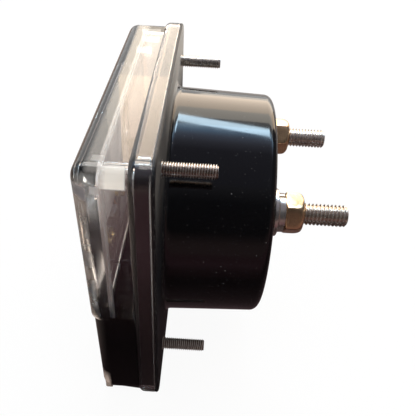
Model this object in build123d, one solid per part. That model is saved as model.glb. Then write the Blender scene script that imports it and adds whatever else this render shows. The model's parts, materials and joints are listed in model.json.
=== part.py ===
from build123d import *
import math
import os

os.makedirs("parts", exist_ok=True)

# Frame: X right as seen from the front, Y to the back, Z up.
# The origin is where the barrel axis meets the back face of the flange.

# Face and flange
face_width = 64.0
face_height = 56.0
face_corner = 4.2
rim_front = 4.1
flange_edge = 0.6
flange_depth = 3.0
flange_edge_round = 0.5
rim_seam_round = 0.3
rim_edge_round = 1.4

# Window block of the clear cover
block_inset = 1.0
block_corner = 2.7
block_top_front = 12.45
block_bottom_front = 12.05
block_edge_round = 2.4
cover_wall = 1.7
cover_inner_round = 0.9
cover_fit = 0.1
mask_top_rise = 0.7
mask_wall = 1.2
mask_step = 0.5
lip_drop = 0.9
lip_depth = 1.4
lip_setback = 0.4
lip_root = 1.4
lip_end_clear = 1.4
foot_drop = 0.8

# Barrel
barrel_radius = 23.6
barrel_draft = 0.7
barrel_length = 19.5
barrel_wall = 1.6
barrel_floor = 1.8
barrel_end_round = 1.7
barrel_root_round = 1.4

# Mounting studs
stud_edge_x = 10.0
stud_edge_z = 6.0
stud_radius = 1.25
stud_length = 8.8
stud_shank_radius = 1.5
stud_head_radius = 2.4
stud_head_depth = 1.2
stud_cover_skin = 0.6
stud_tip_chamfer = 0.25

# Terminals
terminal_angle = 32.1
terminal_wall_gap = 0.5
terminal_radius = 2.0
thread_overlap = 0.2
terminal_reach = 33.3
terminal_hole_clear = 0.1
terminal_tip_chamfer = 0.35
head_flats = 7.0
head_depth = 2.8
lug_thickness = 0.6
lug_radius = 3.9
lug_tab_width = 2.4
lug_tab_length = 6.2
washer_radius = 4.4
washer_thickness = 0.9
spring_washer_radius = 3.6
spring_washer_inner = 2.1
spring_washer_thickness = 1.3
spring_washer_gap = 0.5
nut_flats = 7.0
nut_thickness = 3.4
nut_corner_drop = 0.45
nut_turns = (6.0, -10.0)

# Movement place and axis
pointer_rest_angle = -45.0

# Iron ring, core magnet and chassis
ring_radius = 10.2
ring_wall_gap = 0.1
ring_bore = 7.25
ring_front = 1.5
core_radius = 5.0
core_front = 2.6
core_back_gap = 1.6
key_front = 3.4
key_half_width = 1.5
chassis_boss_height = 1.6
chassis_thickness = 1.3
chassis_pad_depth = 1.8
chassis_wall_gap = 1.8
chassis_half_width = 3.4
chassis_corner = 3.0
chassis_pad_half = 3.0
chassis_screw_edge = 2.8
chassis_screw_radius = 1.25
chassis_screw_head = 2.3
chassis_screw_head_depth = 1.3
chassis_screw_length = 3.6
chassis_boss_radius = 2.7
rear_bush_radius = 1.5
rear_bush_inset = 0.05
rear_bush_reach = 1.1

# Moving coil
coil_front = 1.0
coil_half_width = 6.6
coil_side_width = 2.4
former_thickness = 0.35
former_half_width = 5.95
winding_thickness = 0.65
former_flange = 0.3
boss_radius = 1.5
boss_front = 0.0
boss_rear_depth = 0.7
collet_radius = 0.9
collet_front = -1.0
collet_rear_depth = 0.7
pivot_radius = 0.28
pivot_front_tip = -1.75
pivot_rear_length = 1.0
jewel_clear = 0.06
jewel_depth = 0.65
rear_jewel_depth = 0.9

# Hairsprings
spring_front_back = -0.65
spring_front_front = -0.95
spring_rear_gap = 0.2
spring_inner = 0.95
spring_outer = 4.2
spring_turns = 4.0
spring_strip = 0.12
spring_points_per_turn = 14

# Front bridge, bush and zero lever
bridge_back = -2.4
bridge_front = -3.3
bridge_half_length = 10.5
bridge_half_width = 2.0
pillar_radius = 1.3
pillar_place = 8.85
bridge_screw_radius = 0.8
bridge_screw_head = 1.5
bridge_screw_head_depth = 0.8
bridge_screw_length = 3.0
bush_radius = 1.25
bush_front = -4.7
bush_collar_radius = 1.9
bush_collar_back = -1.35
bush_collar_front = -1.7
bush_nut_flats = 4.2
bush_nut_front = -4.1
slot_width = 0.45
slot_depth = 0.5
lever_back = -1.8
lever_front = -2.2
lever_ring_radius = 3.0
lever_bore_clear = 0.08
lever_arm_width = 2.6
fork_slot_clear = 0.14
fork_slot_length = 2.6
fork_width = 4.2
fork_length = 3.8
spring_stud_width = 0.7
pin_reach = 7.6

# Zero screw
zero_pin_offset = 1.0
zero_pin_radius = 0.5
zero_pin_back = -1.4
zero_head_radius = 3.4
zero_head_clear = 0.15
zero_head_proud = 0.5
zero_head_round = 0.4
zero_shaft_radius = 2.0
zero_shaft_clear = 0.08
zero_barb_radius = 2.5
zero_barb_depth = 0.9
zero_barb_gap = 0.2
zero_slot_width = 0.9
zero_slot_depth = 0.9
zero_seat_gap = 0.15

# Pointer and its balance weights
pointer_front = -5.2
pointer_thickness = 0.4
pointer_plate_back = 0.0
pointer_plate_front = -0.4
pointer_hub_radius = 1.9
pointer_arm_width = 1.2
pointer_tip_width = 0.5
pointer_top_gap = 3.1
pointer_taper_start = 20.0
riser_inner = 4.2
riser_outer = 4.7
arm_reach = 6.9
arm_width = 0.9
weight_place = 6.0
weight_radius = 0.8
weight_back = 0.45
weight_front = -0.9

# Dial
dial_side_gap = 0.7
dial_top_gap = 0.5
dial_below_pivot = 6.5
dial_corner = 1.2
dial_back = -3.0
dial_front = -3.6
dial_notch_half = 12.0
dial_notch_rise = 5.8
dial_notch_corner = 1.5
dial_screw_edge = 2.4
dial_screw_z = -1.5
dial_screw_radius = 1.0
dial_screw_head = 1.9
dial_screw_head_depth = 0.9
dial_screw_length = 2.4
stop_radius = 0.5
stop_place = 10.5
stop_front = -5.9
stop_angle = 53.0

# Leads
lead_radius = 0.28
lead_bow = 1.1

# Derived places
half_width = face_width / 2
half_height = face_height / 2
floor_inner = barrel_length - barrel_floor
barrel_end_radius = barrel_radius - barrel_draft
bore_end_radius = barrel_end_radius - barrel_wall
pivot_height = -(bore_end_radius - ring_wall_gap - ring_radius)
head_corner_radius = head_flats / math.cos(math.pi / 6) / 2
terminal_circle = bore_end_radius - terminal_wall_gap - head_corner_radius
terminal_side = terminal_circle * math.cos(math.radians(terminal_angle))
terminal_height = terminal_circle * math.sin(math.radians(terminal_angle))
chassis_back = floor_inner - chassis_boss_height
chassis_front = chassis_back - chassis_thickness
ring_back = chassis_front - chassis_pad_depth
core_back = ring_back - core_back_gap
coil_back = ring_back
boss_rear_back = coil_back + boss_rear_depth
collet_rear_back = boss_rear_back + collet_rear_depth
pivot_rear_tip = collet_rear_back + pivot_rear_length
spring_rear_front = boss_rear_back + spring_rear_gap
spring_rear_back = spring_rear_front + (spring_front_back - spring_front_front)
rear_bush_front = chassis_front - rear_bush_inset
rear_bush_back = chassis_back + rear_bush_reach
nut_front = barrel_length + washer_thickness + spring_washer_thickness
nut_back = nut_front + nut_thickness
chassis_half_length = math.sqrt(bore_end_radius**2 - pivot_height**2) - chassis_wall_gap
chassis_screw_place = chassis_half_length - chassis_screw_edge
zero_height = pivot_height - pin_reach - zero_pin_offset
block_half_width = half_width - block_inset
block_half_height = half_height - block_inset
dial_half_width = block_half_width - mask_wall - cover_wall - dial_side_gap
dial_top = block_half_height - mask_wall - cover_wall - dial_top_gap
dial_screw_x = dial_half_width - dial_screw_edge
dial_bottom = pivot_height - dial_below_pivot
dial_notch_top = pivot_height + dial_notch_rise
mask_top = dial_notch_top + mask_top_rise
pointer_length = dial_top - pivot_height - pointer_top_gap
slope_angle = math.degrees(math.atan((block_top_front - block_bottom_front) / face_height))


def slab(sketch, back, front):
    # A flat sketch made solid between two places along Y.
    return extrude(Plane.XZ.offset(-back) * sketch, amount=back - front)


def rod(radius, back, front, x=0, z=0):
    return slab(Pos(x, z) * Circle(radius), back, front)


def hexagon(flats, back, front, x=0, z=0, turn=0):
    across_corners = flats / math.cos(math.pi / 6)
    return slab(Pos(x, z) * Rot(0, 0, turn) * RegularPolygon(across_corners / 2, 6), back, front)


def rounded_hexagon(flats, drop, back, front, x, z, turn):
    # Hexagon whose corners fall away at the outer end as on a turned nut.
    body = hexagon(flats, back, front, x, z, turn)
    corner_radius = flats / math.cos(math.pi / 6) / 2
    inner_radius = flats / 2
    cone = Plane(origin=(x, back, z), x_dir=(1, 0, 0), z_dir=(0, 1, 0)) * Cone(
        corner_radius, inner_radius, drop, align=(Align.CENTER, Align.CENTER, Align.MAX)
    )
    straight = rod(corner_radius, back - drop, front, x, z)
    return body & (straight + cone)


def slope_cutter(front_top, front_bottom):
    # Everything in front of the sloping face plane.
    far = face_width * 2
    rise = half_height * 2
    outline = Plane.YZ * make_face(
        Polyline(
            (-front_top - (front_top - front_bottom) / 2, rise),
            (-front_bottom + (front_top - front_bottom) / 2, -rise),
            (-far, -rise),
            (-far, rise),
            close=True,
        )
    )
    return extrude(outline, amount=far, both=True)


def block(inset, setback, edge_round, back, corner):
    # Window block outline, cut by the sloping face and rounded at the front.
    width = (block_half_width - inset) * 2
    height = (block_half_height - inset) * 2
    body = slab(RectangleRounded(width, height, corner), back, -block_top_front * 2)
    body -= slope_cutter(block_top_front - setback, block_bottom_front - setback)
    front_face = body.faces().sort_by(Axis.Y)[0]
    return fillet(front_face.edges(), edge_round)


def below(height):
    # A big box holding everything lower than a height.
    far = face_width * 2
    return Pos(0, 0, height) * Box(far, far, far, align=(Align.CENTER, Align.CENTER, Align.MAX))


def turned(solid, angle):
    # Turns a movement piece about the pointer axis.
    return Pos(0, 0, pivot_height) * Rot(0, angle, 0) * Pos(0, 0, -pivot_height) * solid


def make_mask():
    # Black lower cover, with a small lip along its front bottom edge and a sloping foot behind it.
    outer = block(0, mask_step, block_edge_round, -rim_front, block_corner)
    inner = block(mask_wall, mask_step + mask_wall, block_edge_round - mask_wall, -rim_front, block_corner - mask_wall)
    body = (outer - inner) & below(mask_top)
    lip_front = block_bottom_front - mask_step - lip_setback
    lip = Pos(0, -lip_front, -block_half_height - lip_drop) * Box(
        (block_half_width - lip_end_clear) * 2,
        lip_depth,
        lip_root + lip_drop,
        align=(Align.CENTER, Align.MIN, Align.MIN),
    )
    ends = lip.edges().filter_by(Axis.X).group_by(Axis.Z)[0]
    lip = fillet(ends, lip_drop / 3)
    foot_start = lip_depth - lip_front
    foot_top = lip_root - block_half_height
    foot = make_face(
        Polyline(
            (foot_start, -block_half_height),
            (-rim_front, -block_half_height - foot_drop),
            (-rim_front, foot_top),
            (foot_start, foot_top),
            close=True,
        )
    )
    foot = extrude(Plane.YZ * foot, amount=block_half_width - lip_end_clear, both=True)
    body = body + (lip - inner) + (foot - inner)
    hole = rod(zero_head_radius + zero_head_clear, 0, -block_top_front * 2, 0, zero_height)
    return body - hole


def make_cover():
    rim = slab(RectangleRounded(face_width, face_height, face_corner), -flange_edge, -rim_front)
    rim = fillet(rim.faces().sort_by(Axis.Y)[0].edges(), rim_edge_round)
    rim = fillet(rim.faces().sort_by(Axis.Y)[-1].edges(), rim_seam_round)
    upper = block(0, 0, block_edge_round, -rim_front + rim_edge_round, block_corner)
    upper -= below(mask_top)
    lower = block(
        mask_wall, mask_step + mask_wall, block_edge_round - mask_wall, -rim_front + rim_edge_round, block_corner - mask_wall
    )
    body = rim + upper + (lower & below(mask_top))
    hollow = block(
        mask_wall + cover_wall,
        mask_step + mask_wall + cover_wall,
        cover_inner_round,
        -flange_edge,
        block_corner - mask_wall,
    )
    seat = slab(
        RectangleRounded(
            face_width - cover_wall * 2, face_height - cover_wall * 2, face_corner - cover_wall
        ),
        -flange_edge,
        -flange_depth,
    )
    body = body - hollow - seat
    body -= rod(zero_shaft_radius + zero_shaft_clear, 0, -block_top_front * 2, 0, zero_height)
    return body


def make_base():
    flange = slab(RectangleRounded(face_width, face_height, face_corner), 0, -flange_edge)
    flange = fillet(flange.faces().sort_by(Axis.Y)[-1].edges(), flange_edge_round)
    inner_cut = (cover_wall + cover_fit) * 2
    flange += slab(
        RectangleRounded(face_width - inner_cut, face_height - inner_cut, face_corner - cover_wall - cover_fit),
        -flange_edge,
        -flange_depth,
    )
    barrel = Plane.XZ * Cone(
        barrel_end_radius, barrel_radius, barrel_length, align=(Align.CENTER, Align.CENTER, Align.MAX)
    )
    end_edge = barrel.edges().sort_by(Axis.Y)[-1]
    barrel = fillet(end_edge, barrel_end_round)
    body = flange + barrel
    root = [
        edge
        for edge in body.edges().filter_by(GeomType.CIRCLE)
        if abs(edge.center().Y) < flange_edge / 4 and abs(edge.radius - barrel_radius) < flange_edge / 4
    ]
    body = fillet(root, barrel_root_round)
    hollow_length = floor_inner + flange_depth
    hollow = Plane.XZ.offset(-floor_inner) * Cone(
        barrel_end_radius - barrel_wall,
        barrel_radius - barrel_wall,
        hollow_length,
        align=(Align.CENTER, Align.CENTER, Align.MIN),
    )
    body -= hollow
    for side in (-1, 1):
        body += rod(chassis_boss_radius, floor_inner, chassis_back, side * chassis_screw_place, pivot_height)
    return body


def cut_base(body, studs, screws, dial_screws):
    for stud in studs:
        body -= stud
    for screw in screws:
        body -= screw
    for screw in dial_screws:
        body -= screw
    for side in (-1, 1):
        hole_radius = terminal_radius + terminal_hole_clear
        body -= rod(hole_radius, barrel_length * 2, chassis_back, side * terminal_side, terminal_height)
    return body


def make_stud(x, z):
    # Threaded end behind the flange, with a thicker shank and a hexagon head moulded into it.
    shaft = rod(stud_radius, stud_length, 0, x, z)
    shaft = chamfer(shaft.edges().sort_by(Axis.Y)[-1], stud_tip_chamfer)
    head_back = -stud_cover_skin
    shaft += rod(stud_shank_radius, 0, head_back, x, z)
    return shaft + hexagon(stud_head_radius * 2, head_back, head_back - stud_head_depth, x, z)


def make_terminal(x):
    # Inside the nut the two threads overlap, so both meet halfway down the thread.
    shaft = rod(terminal_radius, nut_front, floor_inner - lug_thickness, x, terminal_height)
    shaft += rod(terminal_radius - thread_overlap, nut_back, nut_front, x, terminal_height)
    end = rod(terminal_radius, terminal_reach, nut_back, x, terminal_height)
    shaft += chamfer(end.edges().sort_by(Axis.Y)[-1], terminal_tip_chamfer)
    head_back = floor_inner - lug_thickness
    head = hexagon(head_flats, head_back, head_back - head_depth, x, terminal_height)
    return shaft + head


def make_lug(x):
    plate = Pos(x, terminal_height) * Circle(lug_radius)
    tab = Pos(x, terminal_height - lug_tab_length / 2) * Rectangle(lug_tab_width, lug_tab_length)
    sketch = plate + tab - Pos(x, terminal_height) * Circle(terminal_radius)
    return slab(sketch, floor_inner, floor_inner - lug_thickness)


def make_washer(x):
    sketch = Circle(washer_radius) - Circle(terminal_radius)
    return slab(Pos(x, terminal_height) * sketch, barrel_length + washer_thickness, barrel_length)


def make_spring_washer(x):
    sketch = Circle(spring_washer_radius) - Circle(spring_washer_inner)
    sketch -= Pos(0, spring_washer_radius) * Rectangle(spring_washer_gap, spring_washer_radius * 2)
    return slab(Pos(x, terminal_height) * sketch, nut_front, barrel_length + washer_thickness)


def make_nut(x, turn):
    body = rounded_hexagon(nut_flats, nut_corner_drop, nut_back, nut_front, x, terminal_height, turn)
    return body - rod(terminal_radius - thread_overlap, terminal_reach, barrel_length, x, terminal_height)


def make_ring():
    sketch = Circle(ring_radius) - Circle(ring_bore)
    body = slab(Pos(0, pivot_height) * sketch, ring_back, ring_front)
    for side in (-1, 1):
        place = side * pillar_place
        body -= rod(bridge_screw_radius, ring_front + bridge_screw_length, ring_front, place, pivot_height)
    return body


def make_core():
    return rod(core_radius, core_back, core_front, 0, pivot_height)


def make_chassis():
    plate = RectangleRounded(chassis_half_length * 2, chassis_half_width * 2, chassis_corner)
    body = slab(Pos(0, pivot_height) * plate, chassis_back, chassis_front)
    gap = Circle(ring_bore) - Circle(core_radius)
    keys = gap & Rectangle(key_half_width * 2, ring_radius * 2)
    body += slab(Pos(0, pivot_height) * keys, chassis_front, key_front)
    pads = (Circle(ring_radius) - Circle(ring_bore)) & Rectangle(ring_radius * 2, chassis_pad_half * 2)
    body += slab(Pos(0, pivot_height) * pads, chassis_front, ring_back)
    uprights = Rectangle(key_half_width * 2, ring_bore * 2)
    body += slab(Pos(0, pivot_height) * uprights, chassis_back, chassis_front)
    body -= rod(rear_bush_radius, chassis_back * 2, ring_back, 0, pivot_height)
    stud_center = spring_outer + spring_strip / 2 + spring_stud_width / 2
    stud = Pos(stud_center, pivot_height) * Rectangle(spring_stud_width, spring_stud_width)
    return body + slab(stud, chassis_front, spring_rear_front)


def make_chassis_screw(side):
    place = side * chassis_screw_place
    shaft = rod(chassis_screw_radius, chassis_front + chassis_screw_length, chassis_front, place, pivot_height)
    head = rod(chassis_screw_head, chassis_front, chassis_front - chassis_screw_head_depth, place, pivot_height)
    slot_front = chassis_front - chassis_screw_head_depth
    slot = slab(
        Pos(place, pivot_height) * Rectangle(chassis_screw_head * 2, slot_width),
        slot_front + slot_depth,
        slot_front,
    )
    return shaft + head - slot


def make_rear_bush():
    body = rod(rear_bush_radius, rear_bush_back, rear_bush_front, 0, pivot_height)
    jewel = pivot_radius + jewel_clear
    body -= rod(jewel, rear_bush_front + rear_jewel_depth, rear_bush_front, 0, pivot_height)
    slot = slab(
        Pos(0, pivot_height) * Rectangle(rear_bush_radius * 2, slot_width),
        rear_bush_back,
        rear_bush_back - slot_depth,
    )
    return body - slot


def make_pillar(side):
    place = side * pillar_place
    body = rod(pillar_radius, ring_front, bridge_back, place, pivot_height)
    body += rod(bridge_screw_radius, ring_front + bridge_screw_length, ring_front, place, pivot_height)
    return body - rod(bridge_screw_radius, bridge_back + bridge_screw_length / 2, bridge_back, place, pivot_height)


def make_bridge():
    plate = RectangleRounded(bridge_half_length * 2, bridge_half_width * 2, bridge_half_width / 2)
    body = slab(Pos(0, pivot_height) * plate, bridge_back, bridge_front)
    body -= rod(bush_radius, 0, bush_front, 0, pivot_height)
    for side in (-1, 1):
        body -= rod(bridge_screw_radius, 0, bush_front, side * pillar_place, pivot_height)
    return body


def make_bridge_screw(side):
    place = side * pillar_place
    head_front = bridge_front - bridge_screw_head_depth
    body = rod(bridge_screw_head, bridge_front, head_front, place, pivot_height)
    body += rod(bridge_screw_radius, bridge_back + bridge_screw_length / 2, bridge_front, place, pivot_height)
    slot = slab(
        Pos(place, pivot_height) * Rectangle(slot_width, bridge_screw_head * 2), head_front + slot_depth, head_front
    )
    return body - slot


def make_bush():
    body = rod(bush_radius, bush_collar_back, bush_front, 0, pivot_height)
    body += rod(bush_collar_radius, bush_collar_back, bush_collar_front, 0, pivot_height)
    jewel = pivot_radius + jewel_clear
    body -= rod(jewel, bush_collar_back, bush_collar_back - jewel_depth, 0, pivot_height)
    slot = slab(Pos(0, pivot_height) * Rectangle(bush_radius * 2, slot_width), bush_front + slot_depth, bush_front)
    return body - slot


def make_bush_nut():
    body = hexagon(bush_nut_flats, bridge_front, bush_nut_front, 0, pivot_height)
    return body - rod(bush_radius, 0, bush_front, 0, pivot_height)


def make_lever():
    ring = Pos(0, pivot_height) * Circle(lever_ring_radius)
    arm_length = pin_reach
    arm = Pos(0, pivot_height - arm_length / 2) * Rectangle(lever_arm_width, arm_length)
    fork_center = pivot_height - pin_reach
    fork = Pos(0, fork_center) * RectangleRounded(fork_width, fork_length, lever_arm_width / 4)
    slot_half = zero_pin_radius + fork_slot_clear
    slot_top = fork_center + fork_slot_length / 2
    slot_bottom = fork_center - fork_length
    slot = Pos(0, (slot_top + slot_bottom) / 2) * Rectangle(slot_half * 2, slot_top - slot_bottom)
    bore = Pos(0, pivot_height) * Circle(bush_radius + lever_bore_clear)
    body = slab(ring + arm + fork - slot - bore, lever_back, lever_front)
    tab_reach = spring_outer + spring_stud_width + spring_strip
    tab = Pos(tab_reach / 2, pivot_height) * Rectangle(tab_reach, spring_stud_width) - bore
    body += slab(tab, lever_back, lever_front)
    stud_center = spring_outer + spring_strip / 2 + spring_stud_width / 2
    stud = Pos(stud_center, pivot_height) * Rectangle(spring_stud_width, spring_stud_width)
    return body + slab(stud, spring_front_back, lever_back)


def spiral_strip(back, front, direction):
    # A flat spiral of thin strip, from its collet out to its stud on the right.
    count = int(spring_turns * spring_points_per_turn)
    inner_line = []
    outer_line = []
    for step in range(count + 1):
        share = step / count
        angle = direction * share * spring_turns * 2 * math.pi
        middle = spring_inner + (spring_outer - spring_inner) * share
        inner = middle - spring_strip / 2
        outer = middle + spring_strip / 2
        inner_line.append((inner * math.cos(angle), inner * math.sin(angle)))
        outer_line.append((outer * math.cos(angle), outer * math.sin(angle)))
    outline = Polyline(*(inner_line + outer_line[::-1]), close=True)
    return slab(Pos(0, pivot_height) * make_face(outline), back, front)


def make_former():
    # Light frame that the coil is wound on.
    inner = former_half_width - former_thickness
    depth_inset = coil_half_width - former_half_width
    outer_box = Pos(0, coil_front + depth_inset, pivot_height) * Box(
        former_half_width * 2,
        coil_back - coil_front - depth_inset * 2,
        coil_side_width,
        align=(Align.CENTER, Align.MIN, Align.CENTER),
    )
    inner_depth = depth_inset + former_thickness
    inner_box = Pos(0, coil_front + inner_depth, pivot_height) * Box(
        inner * 2,
        coil_back - coil_front - inner_depth * 2,
        coil_side_width * 2,
        align=(Align.CENTER, Align.MIN, Align.CENTER),
    )
    return outer_box - inner_box


def make_winding():
    depth_inset = coil_half_width - former_half_width
    outer_box = Pos(0, coil_front, pivot_height) * Box(
        coil_half_width * 2,
        coil_back - coil_front,
        coil_side_width - former_flange * 2,
        align=(Align.CENTER, Align.MIN, Align.CENTER),
    )
    long_edges = outer_box.edges().filter_by(Axis.Z)
    outer_box = fillet(long_edges, winding_thickness)
    inner_box = Pos(0, coil_front + depth_inset, pivot_height) * Box(
        former_half_width * 2,
        coil_back - coil_front - depth_inset * 2,
        coil_side_width * 2,
        align=(Align.CENTER, Align.MIN, Align.CENTER),
    )
    return outer_box - inner_box


def make_front_staff():
    body = rod(boss_radius, coil_front, boss_front, 0, pivot_height)
    body += rod(collet_radius, boss_front, collet_front, 0, pivot_height)
    return body + rod(pivot_radius, collet_front, pivot_front_tip, 0, pivot_height)


def make_rear_staff():
    body = rod(boss_radius, boss_rear_back, coil_back, 0, pivot_height)
    body += rod(collet_radius, collet_rear_back, boss_rear_back, 0, pivot_height)
    return body + rod(pivot_radius, pivot_rear_tip, collet_rear_back, 0, pivot_height)


def make_pointer():
    hub = Circle(pointer_hub_radius)
    cross = Rectangle(arm_reach * 2, arm_width)
    tail = Pos(0, -arm_reach / 2) * Rectangle(arm_width, arm_reach)
    root = Pos(0, riser_outer / 2) * Rectangle(pointer_arm_width, riser_outer)
    sketch = hub + cross + tail + root - Circle(collet_radius)
    for x, z in ((-weight_place, 0), (weight_place, 0), (0, -weight_place)):
        sketch -= Pos(x, z) * Circle(weight_radius / 2)
    body = slab(Pos(0, pivot_height) * sketch, pointer_plate_back, pointer_plate_front)
    riser_middle = (riser_inner + riser_outer) / 2
    riser = Pos(0, riser_middle) * Rectangle(pointer_arm_width, riser_outer - riser_inner)
    body += slab(Pos(0, pivot_height) * riser, pointer_plate_back, pointer_front)
    needle = make_face(
        Polyline(
            (-pointer_arm_width / 2, riser_inner),
            (pointer_arm_width / 2, riser_inner),
            (pointer_arm_width / 2, pointer_taper_start),
            (pointer_tip_width / 2, pointer_length),
            (-pointer_tip_width / 2, pointer_length),
            (-pointer_arm_width / 2, pointer_taper_start),
            close=True,
        )
    )
    return body + slab(Pos(0, pivot_height) * needle, pointer_front + pointer_thickness, pointer_front)


def make_weight(x, z):
    body = rod(weight_radius, weight_back, pointer_plate_back, x, pivot_height + z)
    body += rod(weight_radius, pointer_plate_front, weight_front, x, pivot_height + z)
    return body + rod(weight_radius / 2, pointer_plate_back, pointer_plate_front, x, pivot_height + z)


def make_dial():
    height = dial_top - dial_bottom
    plate = Pos(0, (dial_top + dial_bottom) / 2) * RectangleRounded(dial_half_width * 2, height, dial_corner)
    notch_height = dial_notch_top - dial_bottom
    notch = Pos(0, dial_notch_top - notch_height) * RectangleRounded(
        dial_notch_half * 2, notch_height * 2, dial_notch_corner
    )
    sketch = plate - notch
    for side in (-1, 1):
        sketch -= Pos(side * dial_screw_x, dial_screw_z) * Circle(dial_screw_radius)
    return slab(sketch, dial_back, dial_front)


def make_dial_screw(side):
    place = side * dial_screw_x
    head_front = dial_front - dial_screw_head_depth
    body = rod(dial_screw_head, dial_front, head_front, place, dial_screw_z)
    body = fillet(body.faces().sort_by(Axis.Y)[0].edges(), dial_screw_head_depth / 3)
    body += rod(dial_screw_radius, dial_front + dial_screw_length, dial_front, place, dial_screw_z)
    slot = slab(
        Pos(place, dial_screw_z) * Rectangle(dial_screw_head * 2, slot_width), head_front + slot_depth, head_front
    )
    return body - slot


def make_stop(side):
    angle = math.radians(stop_angle)
    x = side * stop_place * math.sin(angle)
    z = pivot_height + stop_place * math.cos(angle)
    return rod(stop_radius, dial_front, stop_front, x, z)


def make_zero_screw():
    face_slope = math.tan(math.radians(slope_angle))
    middle_front = (block_top_front + block_bottom_front) / 2
    face_here = middle_front + zero_height * face_slope - mask_step
    wall_outer = face_here - mask_wall
    wall_inner = wall_outer - cover_wall
    head_back = -(wall_outer + zero_seat_gap)
    head_front = -(face_here + zero_head_proud)
    body = rod(zero_head_radius, head_back, head_front, 0, zero_height)
    body = fillet(body.faces().sort_by(Axis.Y)[0].edges(), zero_head_round)
    slot = slab(
        Pos(0, zero_height) * Rectangle(zero_slot_width, zero_head_radius * 2), head_front + zero_slot_depth, head_front
    )
    body -= slot
    barb_front = -(wall_inner - zero_barb_gap)
    barb_back = barb_front + zero_barb_depth
    body += rod(zero_shaft_radius, barb_front, head_back, 0, zero_height)
    body += rod(zero_barb_radius, barb_back, barb_front, 0, zero_height)
    return body + rod(zero_pin_radius, zero_pin_back, barb_back, 0, zero_height + zero_pin_offset)


def make_lead(points, start_direction, end_direction):
    path = Spline(*points, tangents=(start_direction, end_direction))
    start_plane = Plane(origin=path @ 0, z_dir=path % 0)
    return sweep(start_plane * Circle(lead_radius), path=path)


def make_front_lead():
    # From the left terminal lug to the left end of the front bridge.
    lug_x = -terminal_side
    lug_z = terminal_height - lug_tab_length
    lug_y = floor_inner - lug_thickness / 2
    bridge_y = (bridge_front + bridge_back) / 2
    start = (lug_x, lug_y, lug_z)
    middle = (lug_x + lead_bow, (lug_y + bridge_y) / 2, pivot_height / 2)
    end = (-bridge_half_length, bridge_y, pivot_height)
    return make_lead((start, middle, end), (0, 0, -1), (1, 0, 0))


def make_rear_lead():
    # From the right terminal lug to the rear spring stud on the chassis.
    lug_x = terminal_side
    lug_z = terminal_height - lug_tab_length
    lug_y = floor_inner - lug_thickness / 2
    start = (lug_x, lug_y, lug_z)
    end_z = pivot_height + chassis_half_width
    end = (ring_radius, (chassis_front + chassis_back) / 2, end_z)
    middle = ((lug_x + ring_radius) / 2, (lug_y + chassis_back) / 2 - lead_radius, (lug_z + end_z) / 2)
    return make_lead((start, middle, end), (0, 0, -1), (0, 0, -1))


def save(name, solids):
    if len(solids) == 1:
        shape = solids[0]
    else:
        shape = Compound(children=list(solids))
    export_step(shape, "parts/" + name + ".step")


def single(shape):
    # The one solid of a shape that was put together from several.
    solids = shape.solids()
    if len(solids) != 1:
        raise ValueError("expected one solid, got " + str(len(solids)))
    return solids[0]


sides = (-1, 1)
stud_places = [(sx * (half_width - stud_edge_x), sz * (half_height - stud_edge_z)) for sx in sides for sz in sides]
studs = [single(make_stud(x, z)) for x, z in stud_places]
chassis_screws = [single(make_chassis_screw(side)) for side in sides]
dial_screws = [single(make_dial_screw(side)) for side in sides]
terminal_places = [side * terminal_side for side in sides]
leads = {"front_lead": make_front_lead(), "rear_lead": make_rear_lead()}
chassis = make_chassis()
for screw in chassis_screws:
    chassis -= screw

save("case_base", [single(cut_base(make_base(), studs, chassis_screws, dial_screws))])
save("front_cover", [single(make_cover())])
save("lower_mask", [single(make_mask())])
save("zero_screw", [single(make_zero_screw())])
save("mounting_studs", studs)
save("terminal_studs", [single(make_terminal(x)) for x in terminal_places])
save("terminal_lugs", [single(make_lug(x)) for x in terminal_places])
save("terminal_washers", [single(make_washer(x)) for x in terminal_places])
save("terminal_spring_washers", [single(make_spring_washer(x)) for x in terminal_places])
save("terminal_nuts", [single(make_nut(x, turn)) for x, turn in zip(terminal_places, nut_turns)])
save("iron_ring", [single(make_ring())])
save("core_magnet", [single(make_core())])
save("movement_chassis", [single(chassis)])
save("chassis_screws", chassis_screws)
save("rear_jewel_bush", [single(make_rear_bush())])
save("bridge_pillars", [single(make_pillar(side)) for side in sides])
save("front_bridge", [single(make_bridge())])
save("bridge_screws", [single(make_bridge_screw(side)) for side in sides])
save("front_jewel_bush", [single(make_bush())])
save("front_jewel_nut", [single(make_bush_nut())])
save("zero_lever", [single(make_lever())])
save("front_hairspring", [single(spiral_strip(spring_front_back, spring_front_front, 1))])
save("rear_hairspring", [single(spiral_strip(spring_rear_back, spring_rear_front, -1))])
save("coil_former", [single(turned(make_former(), pointer_rest_angle))])
save("coil_winding", [single(turned(make_winding(), pointer_rest_angle))])
save("coil_staffs", [single(make_front_staff()), single(make_rear_staff())])
save("pointer", [single(turned(make_pointer(), pointer_rest_angle))])
weight_places = ((-weight_place, 0), (weight_place, 0), (0, -weight_place))
save("balance_weights", [single(turned(make_weight(x, z), pointer_rest_angle)) for x, z in weight_places])
save("dial_plate", [single(make_dial())])
save("dial_screws", dial_screws)
save("pointer_stops", [single(make_stop(side)) for side in sides])
save("front_lead", [single(leads["front_lead"])])
save("rear_lead", [single(leads["rear_lead"])])
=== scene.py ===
import json
import math

import bmesh
import bpy
from mathutils import Matrix, Vector


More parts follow.
